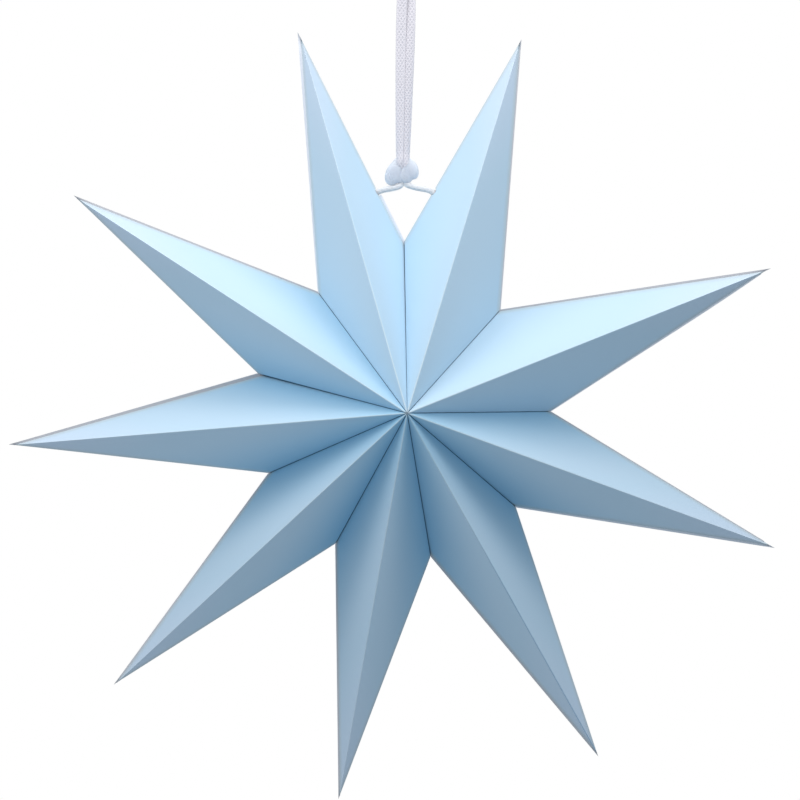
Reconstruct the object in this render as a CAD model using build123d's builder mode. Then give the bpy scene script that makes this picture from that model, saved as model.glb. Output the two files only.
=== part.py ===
"""A nine-pointed star of folded card, hung from a tied ribbon.

Millimetres, +Z up, the star's front faces -Y. The origin is the inside top of the ribbon's loop,
where a hook carries the star, and the hub lies below it.
"""

import os
from math import cos, hypot, pi, radians, sin, sqrt, tan

from build123d import *

# Star, seen from the front; angles are degrees clockwise from straight up
tip_radius = 225.0
notch_radius = 84.4
half_depth = 78.0
tip_angles = (-15.5, 17.6, 68.6, 110.0, 150.4, 189.5, 226.8, 265.4, 303.4)
tip_radius_shares = (1.0, 0.993, 1.004, 1.005, 1.003, 0.992, 1.004, 1.0, 0.998)
notch_angles = (0.4, 43.4, 89.5, 129.9, 169.1, 207.3, 245.8, 285.1, 324.8)
notch_radius_shares = (1.164, 0.96, 1.0, 1.0, 0.993, 1.0, 1.0, 1.02, 1.0)

# Card
card = 0.4
flap_width = 9.0
pinhole_radius = 1.0
seam_gap = 0.8

# Seam lips: the side edge of each point that is closed by one, 1 the clockwise edge and 0 the other
lip_width = 1.7
lip_sides = (0, 1, 0, 1, 1, 1, 1, 1, 1)
lip_width_shares = (1.0, 0.5, 1.3, 0.6, 0.6, 0.6, 0.5, 1.0, 0.6)
lip_run_shares = (0.03, 0.1, 0.96)

# Ribbon, its holes and its knots
hub_drop = 262.0
hub_lean = 2.3
ribbon_width = 6.0
ribbon_thickness = 0.5
hook_radius = 3.0
leg_diameter = 2.6
hole_radius = 2.5
hole_share = 0.233
stop_knot_radius = 3.4
clearance = 0.2

# Knot: its middle above the tied notch, then its two lobes and how far each leans from upright
knot_rise = 39.8
lobe_half_length = 7.8
lobe_half_width = 5.4
lobe_spread = 4.2
lobe_drop = 1.0
lobe_lean = 24.0
lobe_size_shares = (1.06, 0.93)

# Half outline of a barrel, as shares of its half length and half width: knot lobes and stop knots
barrel_length_shares = (-0.95, -0.7, -0.28, 0.28, 0.7, 0.95)
barrel_width_shares = (0.31, 0.71, 0.96, 0.96, 0.71, 0.31)

# A cord's arc takes this share of the shorter run beside it
arc_share = 0.45
overrun = 2.0

hub = Vector(-hub_lean, 0, -hub_drop)
star_plane = Plane(origin=hub, x_dir=(1, 0, 0), z_dir=(0, -1, 0))
front_apex = hub + Vector(0, -half_depth, 0)
back_apex = hub + Vector(0, half_depth, 0)
point_count = len(tip_angles)


def around(angle):
    """The direction from the hub at a clock angle, in the star's middle plane."""
    return Vector(sin(radians(angle)), 0, cos(radians(angle)))


tips = [hub + around(a) * (tip_radius * s) for a, s in zip(tip_angles, tip_radius_shares)]
notches = [hub + around(a) * (notch_radius * s) for a, s in zip(notch_angles, notch_radius_shares)]
tied_notch = notches[0]
knot_place = Vector(hub.X, 0, tied_notch.Z + knot_rise)


def flat(place):
    """A place in the star's middle plane as that plane's own x and y."""
    local = star_plane.to_local_coords(place)
    return (local.X, local.Y)


def plane_through(a, b, c, inside):
    """The plane through three places, facing away from a fourth."""
    normal = (b - a).cross(c - a).normalized()
    if normal.dot(inside - a) > 0:
        normal = normal * -1
    return Plane(origin=a, x_dir=b - a, z_dir=normal)


def facets_of(tip, notch, middle):
    """The front and back facet planes between a point's ridges and one of its side edges."""
    return [plane_through(tip, notch, apex, middle) for apex in (front_apex, back_apex)]


def valley_of(notch, middle):
    """The plane in which a point meets its neighbour; the tied seam stands a little open."""
    valley = plane_through(hub, notch, front_apex, middle)
    return valley.offset(-seam_gap / 2) if notch is tied_notch else valley


def into_point(tip, notch, middle):
    """The direction square to a side edge, into its point."""
    across = (tip - notch).cross(Vector(0, 1, 0)).normalized()
    return across if across.dot(middle - notch) > 0 else across * -1


def trimmed_form(outline, planes):
    """An outline in the middle plane, extruded both ways and trimmed by planes that face out of it."""
    with BuildPart() as form:
        with BuildSketch(star_plane):
            with BuildLine():
                Polyline(*[flat(place) for place in outline], close=True)
            make_face()
        extrude(amount=half_depth, both=True)
        for plane in planes:
            split(bisect_by=plane, keep=Keep.BOTTOM)
    return form.part


def flap_opening(valley, notch):
    """The triangle left open between a valley's front and back glue flaps."""
    reach = (notch - hub).length
    slant = hypot(reach, half_depth)
    open_reach = reach - flap_width * slant / half_depth
    open_depth = half_depth - flap_width * slant / reach
    inwards = Plane(origin=hub, x_dir=notch - hub, z_dir=valley.z_dir * -1)
    with BuildPart() as opening:
        with BuildSketch(inwards):
            with BuildLine():
                Polyline((0, open_depth), (open_reach, 0), (0, -open_depth), close=True)
            make_face()
        extrude(amount=card + seam_gap + overrun)
    return opening.part


def seam_lip(tip, notch, middle, width):
    """The narrow strip where a sheet's two long edges are glued together, along one side edge."""
    along = tip - notch
    out = into_point(tip, notch, middle) * -1
    start, full, end = [notch + along * share for share in lip_run_shares]
    inner = out * (-2 * card)
    outline = [start + inner, start, full + out * width, end + out * width, tip, end + inner]
    with BuildPart() as lip:
        with BuildSketch(star_plane):
            with BuildLine():
                Polyline(*[flat(place) for place in outline], close=True)
            make_face()
        extrude(amount=card, both=True)
    return lip.part


def hole_place(tip, notch):
    """Where a ribbon hole is punched on a side edge."""
    return notch + (tip - notch) * hole_share


def card_point(number):
    """One folded point: a hollow sleeve of four facets with glue flaps on both valleys and one seam lip."""
    tip = tips[number]
    sides = (notches[number - 1], notches[number])
    middle = (hub + tip) * 0.5
    outline = [hub, sides[0], tip, sides[1]]
    facets = [facet for notch in sides for facet in facets_of(tip, notch, middle)]
    valleys = [valley_of(notch, middle) for notch in sides]
    tied_valleys = [valley for notch, valley in zip(sides, valleys) if notch is tied_notch]
    sleeve = trimmed_form(outline, facets + tied_valleys)
    cavity = trimmed_form(outline, [plane.offset(-card) for plane in facets + valleys])
    openings = [flap_opening(valley, notch) for notch, valley in zip(sides, valleys)]
    lip = seam_lip(tip, sides[lip_sides[number]], middle, lip_width * lip_width_shares[number])
    with BuildPart() as point:
        add(sleeve)
        add([cavity, *openings], mode=Mode.SUBTRACT)
        add(lip)
        with BuildSketch(star_plane):
            Circle(pinhole_radius)
        extrude(amount=half_depth, both=True, mode=Mode.SUBTRACT)
        if tied_valleys:
            inwards = into_point(tip, tied_notch, middle)
            with BuildSketch(Plane(origin=hole_place(tip, tied_notch), z_dir=inwards)):
                Circle(hole_radius)
            extrude(amount=2 * hole_radius, both=True, mode=Mode.SUBTRACT)
    return point


os.makedirs("parts", exist_ok=True)


def save(built, name):
    """Labels a finished piece and writes it."""
    built.part.label = name
    export_step(built.part, f"parts/{name}.step")
    print(name, "volume", round(built.part.volume, 1))


for number in range(point_count):
    save(card_point(number), f"point_{number + 1}")


def route_radii(places):
    """The largest arc that each corner of a route has room for."""
    radii = []
    for a, b, c in zip(places, places[1:], places[2:]):
        half_turn = radians((b - a).get_angle(c - b) / 2)
        radii.append(arc_share * min((b - a).length, (c - b).length) / tan(half_turn))
    return radii


def stop_place(number):
    """The middle of the stop knot that sits inside an end point, behind its ribbon hole."""
    tip = tips[number]
    middle = (hub + tip) * 0.5
    facet = facets_of(tip, tied_notch, middle)[0]
    slope = sqrt(1 - facet.z_dir.Y**2)
    depth = (stop_knot_radius + card + clearance) / slope
    return hole_place(tip, tied_notch) + into_point(tip, tied_notch, middle) * depth


# The ribbon's routes along its middle line: up from the knot, over the hook and back, and the two legs
loop_route = [
    knot_place + Vector(-2.05, -0.6, 1.0),
    Vector(-3.35, -1.4, -26.0),
    Vector(0, -hook_radius, ribbon_thickness / 2),
    Vector(0, hook_radius, ribbon_thickness / 2),
    Vector(2.35, 1.4, -26.0),
    knot_place + Vector(2.05, 0.6, 1.0),
]
leg_routes = (
    [
        knot_place + Vector(-1.3, 0, -5.6),
        knot_place + Vector(-5.2, 0, -9.8),
        hole_place(tips[0], tied_notch),
        stop_place(0),
    ],
    [
        knot_place + Vector(1.6, 0, -5.4),
        knot_place + Vector(5.0, 0, -8.8),
        hole_place(tips[1], tied_notch),
        stop_place(1),
    ],
)

loop_radii = route_radii(loop_route)
loop_radii[1] = loop_radii[2] = hook_radius - clearance
with BuildPart() as ribbon_loop:
    with BuildLine() as loop_line:
        FilletPolyline(*loop_route, radius=loop_radii)
    with BuildLine(mode=Mode.PRIVATE) as loop_guide:
        FilletPolyline(*[place + Vector(ribbon_width, 0, 0) for place in loop_route], radius=loop_radii)
    loop_wire = loop_line.wires()[0]
    with BuildSketch(Plane(origin=loop_wire @ 0, x_dir=(1, 0, 0), z_dir=loop_wire % 0)):
        Rectangle(ribbon_width, ribbon_thickness)
    sweep(path=loop_wire, binormal=loop_guide.wires()[0])
print("ribbon_loop radii", [round(r, 1) for r in loop_radii], "length", round(loop_wire.length, 1))
print("ribbon_loop section times length", round(ribbon_width * ribbon_thickness * loop_wire.length, 1))
save(ribbon_loop, "ribbon_loop")


def ribbon_leg(route, name):
    """A gathered end of the ribbon, from inside the knot to its stop knot."""
    radii = route_radii(route)
    with BuildPart() as leg:
        with BuildLine() as line:
            FilletPolyline(*route, radius=radii)
        wire = line.wires()[0]
        with BuildSketch(Plane(origin=wire @ 0, z_dir=wire % 0)):
            Circle(leg_diameter / 2)
        sweep(path=wire)
    section = pi * leg_diameter**2 / 4
    print(name, "radii", [round(r, 1) for r in radii], "length", round(wire.length, 1))
    print(name, "section times length", round(section * wire.length, 1))
    return leg


def barrel(place, upright, half_length, half_width):
    """A round lump with flattened shoulders, turned about its own axis."""
    ends = zip(barrel_length_shares, barrel_width_shares)
    outline = [(half_length * along, half_width * across) for along, across in ends]
    with BuildPart() as lump:
        with BuildSketch(Plane(origin=place, x_dir=upright, z_dir=(0, -1, 0))):
            with BuildLine():
                Polyline((outline[0][0], 0), *outline, (outline[-1][0], 0), close=True)
            make_face()
        revolve(axis=Axis(place, upright))
    return lump.part


def stop_knot(number, leg):
    """The knot on a ribbon end, round its leg."""
    lump = barrel(stop_place(number), around(0), stop_knot_radius, stop_knot_radius)
    with BuildPart() as knot:
        add(lump)
        add(leg.part, mode=Mode.SUBTRACT)
    return knot


legs = []
for number, side in enumerate(("left", "right")):
    legs.append(ribbon_leg(leg_routes[number], f"{side}_leg"))
    save(legs[number], f"{side}_leg")
    save(stop_knot(number, legs[number]), f"{side}_stop_knot")

lobes = []
for side, share in zip((-1, 1), lobe_size_shares):
    place = knot_place + Vector(side * lobe_spread, 0, side * lobe_drop)
    upright = around(-side * lobe_lean)
    lobes.append(barrel(place, upright, lobe_half_length * share, lobe_half_width * share))
with BuildPart() as ribbon_knot:
    add(lobes)
    add([ribbon_loop.part, *[leg.part for leg in legs]], mode=Mode.SUBTRACT)
save(ribbon_knot, "ribbon_knot")
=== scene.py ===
# %% [markdown]
# # A hanging star of folded card
# The real star is nine sheets of pale blue card. Each sheet is folded into a hollow, four-sided point, its
# two long edges are glued together as a narrow lip, and the points are glued side by side along their flaps.
# A woven ribbon ties the first and last point together and carries the star. The solids come from the packed
# model; this script gives each one the folds, worn edges and weave of the real material, and paints highlight
# and shade into the card at its ridges, folds, side edges, seams and valleys.

# %% Load the frame
import math

import bmesh
import bpy
import numpy as np
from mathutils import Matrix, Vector


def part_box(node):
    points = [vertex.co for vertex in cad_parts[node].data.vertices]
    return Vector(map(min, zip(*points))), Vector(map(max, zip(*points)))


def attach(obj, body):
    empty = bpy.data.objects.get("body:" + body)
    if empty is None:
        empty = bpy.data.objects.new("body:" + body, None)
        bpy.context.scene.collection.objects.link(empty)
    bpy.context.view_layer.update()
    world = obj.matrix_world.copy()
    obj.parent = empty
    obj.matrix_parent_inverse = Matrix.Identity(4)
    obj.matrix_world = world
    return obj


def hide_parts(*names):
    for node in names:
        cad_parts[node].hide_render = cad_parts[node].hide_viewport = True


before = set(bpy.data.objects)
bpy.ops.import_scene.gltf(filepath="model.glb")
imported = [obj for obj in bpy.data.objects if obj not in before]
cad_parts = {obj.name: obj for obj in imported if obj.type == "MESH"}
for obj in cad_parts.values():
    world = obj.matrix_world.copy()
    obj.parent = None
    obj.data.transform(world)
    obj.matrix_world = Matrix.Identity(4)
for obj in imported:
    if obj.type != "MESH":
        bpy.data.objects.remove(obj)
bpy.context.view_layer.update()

MM = 0.001
print("frame:", len(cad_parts), "nodes")

# %% [markdown]
# ## Places on the star
# A star that was glued by hand is uneven, so every tip and notch has its own clock angle and reach. Angles
# are degrees clockwise from straight up, as the star is seen from the front.

# %% The star's driving sizes
HUB = Vector((-2.3, 0, -262.0)) * MM
TIP_RADIUS = 225.0 * MM
NOTCH_RADIUS = 84.4 * MM
HALF_DEPTH = 78.0 * MM
TIP_ANGLES = (-15.5, 17.6, 68.6, 110.0, 150.4, 189.5, 226.8, 265.4, 303.4)
TIP_SHARES = (1.0, 0.993, 1.004, 1.005, 1.003, 0.992, 1.004, 1.0, 0.998)
NOTCH_ANGLES = (0.4, 43.4, 89.5, 129.9, 169.1, 207.3, 245.8, 285.1, 324.8)
NOTCH_SHARES = (1.164, 0.96, 1.0, 1.0, 0.993, 1.0, 1.0, 1.02, 1.0)
POINT_COUNT = len(TIP_ANGLES)


def around(angle, radius):
    """A place in the star's middle plane, by clock angle and reach from the hub."""
    turn = math.radians(angle)
    return HUB + Vector((math.sin(turn), 0, math.cos(turn))) * radius


tips = [around(a, TIP_RADIUS * s) for a, s in zip(TIP_ANGLES, TIP_SHARES)]
notches = [around(a, NOTCH_RADIUS * s) for a, s in zip(NOTCH_ANGLES, NOTCH_SHARES)]
front_apex = HUB + Vector((0, -HALF_DEPTH, 0))
back_apex = HUB + Vector((0, HALF_DEPTH, 0))
tied_notch = notches[0]
print("tips reach", round(max((t - HUB).length for t in tips) / MM, 1), "mm")

# %% [markdown]
# ## Camera
# The photograph is taken square on, a little from the left, with a long lens. Its middle lies just above
# the hub, and its width takes in a little more than the star.

# %% Place the camera
VIEW_WIDTH = 456.0 * MM
VIEW_DISTANCE = 2.4
VIEW_YAW = 1.63
VIEW_CENTRE = HUB + Vector((-1.77, 0, 7.24)) * MM


def place_camera():
    """A long lens on the star's front, turned to the photograph's angle."""
    lens = bpy.data.cameras.new("camera")
    camera = bpy.data.objects.new("camera", lens)
    bpy.context.collection.objects.link(camera)
    yaw = math.radians(VIEW_YAW)
    camera.location = VIEW_CENTRE + Vector((-math.sin(yaw), -math.cos(yaw), 0)) * VIEW_DISTANCE
    camera.rotation_euler = (math.radians(90), 0, -yaw)
    lens.sensor_width = 36.0
    lens.lens = lens.sensor_width * VIEW_DISTANCE / VIEW_WIDTH
    lens.clip_end = 20.0
    bpy.context.scene.camera = camera
    return camera


camera = place_camera()
print("camera: lens", round(camera.data.lens, 1), "mm")

# %% [markdown]
# ## Building node trees by short calls
# Geometry and shader trees are both made of nodes and links. This small helper adds one node per call, sets
# or links its inputs in order, and hands back the output, so that a tree reads like a formula.


# %% A helper for node trees
class Graph:
    """One node tree; each call adds a node and returns one of its outputs."""

    def __init__(self, tree):
        self.tree = tree

    def add(self, kind, *values, out=0, **settings):
        node = self.tree.nodes.new(kind)
        for name, value in settings.items():
            setattr(node, name, value)
        for socket, value in zip([s for s in node.inputs if s.enabled], values):
            self.give(socket, value)
        return [s for s in node.outputs if s.enabled][out]

    def give(self, socket, value):
        if isinstance(value, bpy.types.NodeSocket):
            self.tree.links.new(value, socket)
        elif value is not None:
            socket.default_value = value

    def math(self, operation, *values):
        return self.add("ShaderNodeMath", *values, operation=operation)

    def vector(self, operation, *values):
        return self.add("ShaderNodeVectorMath", *values, operation=operation)

    def scaled(self, vector, amount):
        return self.vector("SCALE", vector, amount)

    def between(self, start, end, share):
        return self.vector("ADD", start, self.scaled(self.vector("SUBTRACT", end, start), share))

    def join(self, *parts):
        node = self.tree.nodes.new("GeometryNodeJoinGeometry")
        for part in parts:
            self.tree.links.new(part, node.inputs[0])
        return node.outputs[0]

    def choose(self, index, *values):
        node = self.tree.nodes.new("GeometryNodeIndexSwitch")
        node.data_type = "VECTOR" if hasattr(values[0], "type") and values[0].type == "VECTOR" else "FLOAT"
        while len(node.index_switch_items) < len(values):
            node.index_switch_items.new()
        for socket, value in zip(node.inputs, (index, *values)):
            self.give(socket, value)
        return node.outputs[0]


SOCKETS = {"vector": "NodeSocketVector", "float": "NodeSocketFloat", "material": "NodeSocketMaterial",
           "color": "NodeSocketColor", "geometry": "NodeSocketGeometry"}


def new_tree(name, kind, inputs, outputs):
    """A node tree with named inputs and outputs, ready for its nodes."""
    tree = bpy.data.node_groups.new(name, kind)
    for (label, socket), way in [(i, "INPUT") for i in inputs] + [(o, "OUTPUT") for o in outputs]:
        tree.interface.new_socket(name=label, in_out=way, socket_type=SOCKETS[socket])
    entry = tree.nodes.new("NodeGroupInput")
    leave = tree.nodes.new("NodeGroupOutput")
    return tree, entry.outputs, leave.inputs


print("sockets known:", ", ".join(SOCKETS))

# %% [markdown]
# ## Card
# The card is uncoated, matte and smooth: at this distance its fibres don't show. What shows is partly how it
# was
# handled and partly painted light: ridges rubbed pale and painted with a highlight, painted shade along the
# side edges, a painted crease shadow along a fold, painted shade in the seams and a deeper blue painted as
# shade in the valleys.
# Each of these is a mark, a number on every corner of the sheet, and the material mixes in a tint for each.
# The glued lips are bare paper, painted greyer as shade or whiter as light from point to point, and dark
# where they end at the tip.

# %% Colours of the card and of its marks
CARD_BLUE = (0.595, 0.75, 0.87, 1)
# Painted shade: a deeper blue towards the valleys
CARD_VALLEY_SHADE = (0.33, 0.60, 0.79, 1)
# Ridges rubbed pale, and a painted highlight where the folds catch the light
CARD_RIDGE_WEAR_AND_HIGHLIGHT = (0.86, 0.95, 0.98, 1)
CARD_TIP = (0.70, 0.775, 0.90, 1)
# Painted shade: a greyer, darker line along the side folds
CARD_EDGE_SHADE = (0.58, 0.63, 0.63, 1)
# Painted shadow of a crease: a dark blue line along a ridge
CARD_FOLD_SHADOW = (0.27, 0.44, 0.60, 1)
# Painted shade in the seams between points
CARD_SEAM_SHADE = (0.012, 0.07, 0.15, 1)
CARD_WHITE = (0.70, 0.72, 0.78, 1)
# One bare paper for the lips in three copies: painted shade, lighter painted shade and painted light
LIP_PAINTED_SHADE = (0.57, 0.55, 0.57, 1)
LIP_PAINTED_HALF_SHADE = (0.68, 0.66, 0.68, 1)
LIP_PAINTED_LIGHT = (0.87, 0.87, 0.92, 1)
LIP_END = (0.22, 0.24, 0.28, 1)
# The tints for the valleys, side edges, fold and seams are painted shade, and the ridge tint is wear and a
# painted highlight
# Each mark's name, its tint and its full strength
CARD_MARKS_AND_PAINTED_LIGHT = (("valley_shade", CARD_VALLEY_SHADE, 1.0), ("pale", CARD_TIP, 0.8), ("ridge", CARD_RIDGE_WEAR_AND_HIGHLIGHT, 0.9),
             ("edge", CARD_EDGE_SHADE, 0.8), ("fold", CARD_FOLD_SHADOW, 0.9), ("seam", CARD_SEAM_SHADE, 1.0))
LIP_END_MARK = (("edge", LIP_END, 0.8),)
# The output of an attribute node that gives a plain number
ATTRIBUTE_VALUE = 2


def new_material(name):
    """An empty material with its shader, ready for a graph."""
    material = bpy.data.materials.new(name)
    material.use_nodes = True
    return material, Graph(material.node_tree), material.node_tree.nodes["Principled BSDF"]


def card_material(name, colour, tints=()):
    """Smooth matte card of one colour, with a tint mixed in for each of its marks."""
    material, graph, shader = new_material(name)
    shader.inputs["Base Color"].default_value = colour
    shader.inputs["Roughness"].default_value = 0.7
    shader.inputs["Specular IOR Level"].default_value = 0.25
    face = colour
    for mark, tint, strength in tints:
        shown = graph.add("ShaderNodeAttribute", out=ATTRIBUTE_VALUE, attribute_name=mark)
        amount = graph.math("MULTIPLY", shown, strength)
        face = graph.add("ShaderNodeMix", amount, face, tint, data_type="RGBA")
    if tints:
        material.node_tree.links.new(face, shader.inputs["Base Color"])
    return material


blue_card = card_material("blue_card", CARD_BLUE, CARD_MARKS_AND_PAINTED_LIGHT)
white_card = card_material("white_card", CARD_WHITE)
lip_painted_shade = card_material("lip_painted_shade", LIP_PAINTED_SHADE, LIP_END_MARK)
lip_painted_half_shade = card_material("lip_painted_half_shade", LIP_PAINTED_HALF_SHADE, LIP_END_MARK)
lip_painted_light = card_material("lip_painted_light", LIP_PAINTED_LIGHT, LIP_END_MARK)
print("materials:", ", ".join(m.name for m in (blue_card, white_card, lip_painted_shade, lip_painted_half_shade, lip_painted_light)))

# %% [markdown]
# ## One folded point
# Each point is one sheet that runs round four facets, from the glued lip over the front ridge to the far
# side edge and back over the rear ridge. It could be modelled as a pyramid, but real card has soft folds,
# slightly bowed facets and glue flaps that turn in at the valleys. A Geometry Nodes tree can follow that rule
# for every point: a grid whose columns go round the sheet and whose rows go from the flaps to the tip.

# %% Sizes of the folds
CARD = 0.4 * MM
COLUMNS = 22
ROWS = 64
FLAP_ROWS = 3
COLUMN_BUNCH = 0.9
ROW_POWER = 1.8
CREASE = 1.5 * MM
CREASE_DEPTH = 0.35
FLAP_WIDTH = 9.0 * MM
FLAP_TAPER = 1.05
GROOVE_REACH = 2.4
BOW = 0.5 * MM
RIPPLE = 0.5 * MM
RIPPLE_NOISE = (14.0, 1.0, 0.5)
EASE_IN = 8
FOLD_WALL = 0.02 * MM
FOLD_WALL_SLOPE = 0.25
SHEET_MERGE = 0.004 * MM
# The sheets stop just short of the two apexes, which leaves a pinhole at the hub
PINHOLE = 0.1 * MM

# %% The inputs of a point's tree
POINT_INPUTS = [
    ("Tip", "vector"), ("Lip Notch", "vector"), ("Other Notch", "vector"), ("First Apex", "vector"),
    ("Second Apex", "vector"), ("Hub", "vector"), ("Crease", "float"), ("Groove", "float"),
    ("Flap Width", "float"), ("Card", "float"), ("Bow", "float"), ("Ripple", "float"), ("Seed", "float"),
    ("Seam Gap", "vector"), ("Dent", "float"), ("Valley Shade", "float"), ("Lip Swell", "float"), ("Ridge Wear And Highlight", "float"),
    ("Fold Shadow", "float"), ("Lip Start", "vector"), ("Lip End", "vector"), ("Lip Run", "float"),
    ("Edge Start", "vector"), ("Edge End", "vector"), ("Edge Run", "float"), ("Face", "material"),
    ("Back", "material"), ("Lip", "material"), ("Edge", "material"),
]
print("inputs of a point:", len(POINT_INPUTS))


# %% The sheet's grid, as columns round the point and rows along it
def sheet_numbers(graph):
    """For each corner: its facet, and its shares across the facet, along the point and into the flap."""
    high = FLAP_ROWS + ROWS + 1
    index = graph.add("GeometryNodeInputIndex")
    column = graph.math("FLOOR", graph.math("DIVIDE", graph.math("ADD", index, 0.5), high))
    row = graph.math("SUBTRACT", index, graph.math("MULTIPLY", column, high))
    turn = graph.math("DIVIDE", column, COLUMNS)
    facet = graph.math("MINIMUM", graph.math("FLOOR", turn), 3)
    even = graph.math("SUBTRACT", turn, facet)
    wave = graph.math("SINE", graph.math("MULTIPLY", even, 2 * math.pi))
    across = graph.math("MULTIPLY_ADD", wave, -COLUMN_BUNCH / (2 * math.pi), even)
    along = graph.math("MAXIMUM", graph.math("DIVIDE", graph.math("SUBTRACT", row, FLAP_ROWS), ROWS), 0)
    inside = graph.math("MAXIMUM", graph.math("DIVIDE", graph.math("SUBTRACT", FLAP_ROWS, row), FLAP_ROWS), 0)
    return facet, across, graph.math("POWER", along, ROW_POWER), inside


def falloff(graph, distance, reach):
    """One at a fold, falling smoothly to zero at a reach from it."""
    near = graph.math("MAXIMUM", graph.math("SUBTRACT", 1, graph.math("DIVIDE", distance, reach)), 0)
    return graph.math("POWER", near, 2)


def marked(graph, mesh, name, value):
    """Stores a value on each corner of a mesh."""
    return graph.add("GeometryNodeStoreNamedAttribute", mesh, None, name, value, domain="POINT")


# %% The valley edge of the sheet, with its soft folds
def valley_edge(graph, given, facet, across):
    """Where the valley edge lies, its first corner, its side, and how far it is from both corners."""
    corners = [given[n] for n in ("Lip Notch", "First Apex", "Other Notch", "Second Apex", "Lip Notch")]
    start = graph.choose(facet, *corners[:4])
    end = graph.choose(facet, *corners[1:])
    side = graph.vector("SUBTRACT", end, start)
    length = graph.vector("LENGTH", side)
    from_start = graph.math("MULTIPLY", across, length)
    from_end = graph.math("SUBTRACT", length, from_start)
    base = graph.between(start, end, across)
    # Each corner of the sheet is drawn in towards the hub, apart from the open lip
    for corner, distance, is_fold in ((start, from_start, (0, 1, 1, 1)), (end, from_end, (1, 1, 1, 0))):
        inwards = graph.vector("NORMALIZE", graph.vector("SUBTRACT", given["Hub"], corner))
        depth = graph.math("MULTIPLY", falloff(graph, distance, given["Crease"]), given["Crease"])
        share = graph.math("MULTIPLY", graph.choose(facet, *is_fold), CREASE_DEPTH)
        base = graph.vector("ADD", base, graph.scaled(inwards, graph.math("MULTIPLY", depth, share)))
    return base, start, side, from_start, from_end


# %% How far each mark shows
VALLEY_SHADE_REACH = 90.0 * MM
EDGE_SHADE_REACH = 5.0 * MM
RIDGE_PALE_REACH = 2.2 * MM
RIDGE_PALE_AT_TIP = 0.4
FOLD_SHADOW_REACH = 2.6 * MM
FOLD_SHADOW_FROM = 0.25
FOLD_SHADOW_FULL = 0.5
PALE_FROM = 0.55


def sheet_marks(graph, given, facet, along, from_start, from_end, from_valley):
    """How strongly each mark of the card shows at a corner of the grid, from none to full."""
    narrow = graph.math("SUBTRACT", 1, along)
    by_ridge = graph.choose(facet, from_end, from_start, from_end, from_start)
    by_ridge = graph.math("MULTIPLY", by_ridge, narrow)
    by_side = graph.choose(facet, from_start, from_end, from_start, from_end)
    by_side = graph.math("MULTIPLY", by_side, narrow)
    ridge_fade = graph.math("MULTIPLY_ADD", graph.math("POWER", narrow, 3), 1 - RIDGE_PALE_AT_TIP, RIDGE_PALE_AT_TIP)
    ridge = graph.math("MULTIPLY", falloff(graph, by_ridge, RIDGE_PALE_REACH), ridge_fade)
    fold = graph.add("ShaderNodeMapRange", along, FOLD_SHADOW_FROM, FOLD_SHADOW_FULL, 0.0, 1.0)
    fold = graph.math("MULTIPLY", falloff(graph, by_ridge, FOLD_SHADOW_REACH), fold)
    return {
        # Painted shade: a deeper blue towards the valley edge
        "valley_shade": graph.math("MULTIPLY", falloff(graph, from_valley, VALLEY_SHADE_REACH), given["Valley Shade"]),
        "pale": graph.add("ShaderNodeMapRange", along, PALE_FROM, 1.0, 0.0, 1.0),
        # Rubbed pale and a painted highlight along the ridges, fading towards the tip
        "ridge": graph.math("MULTIPLY", ridge, given["Ridge Wear And Highlight"]),
        # Painted shade along the side folds
        "edge": graph.add("ShaderNodeMapRange", by_side, 0.0, EDGE_SHADE_REACH, 1.0, 0.0),
        # Painted crease shadow along the ridge, on the outer part of the point
        "fold": graph.math("MULTIPLY", fold, given["Fold Shadow"]),
        # Painted shade in the seam at the valley edge
        "seam": falloff(graph, from_valley, graph.math("MULTIPLY", given["Groove"], GROOVE_REACH)),
    }


# %% The sheet's places, before it has thickness
SEAM_FADE = 6
DENT_FADE = 4
# Brings the curve of the dent, which is deepest three quarters of the way to the notch, to one
DENT_PEAK = 9.5


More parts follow.
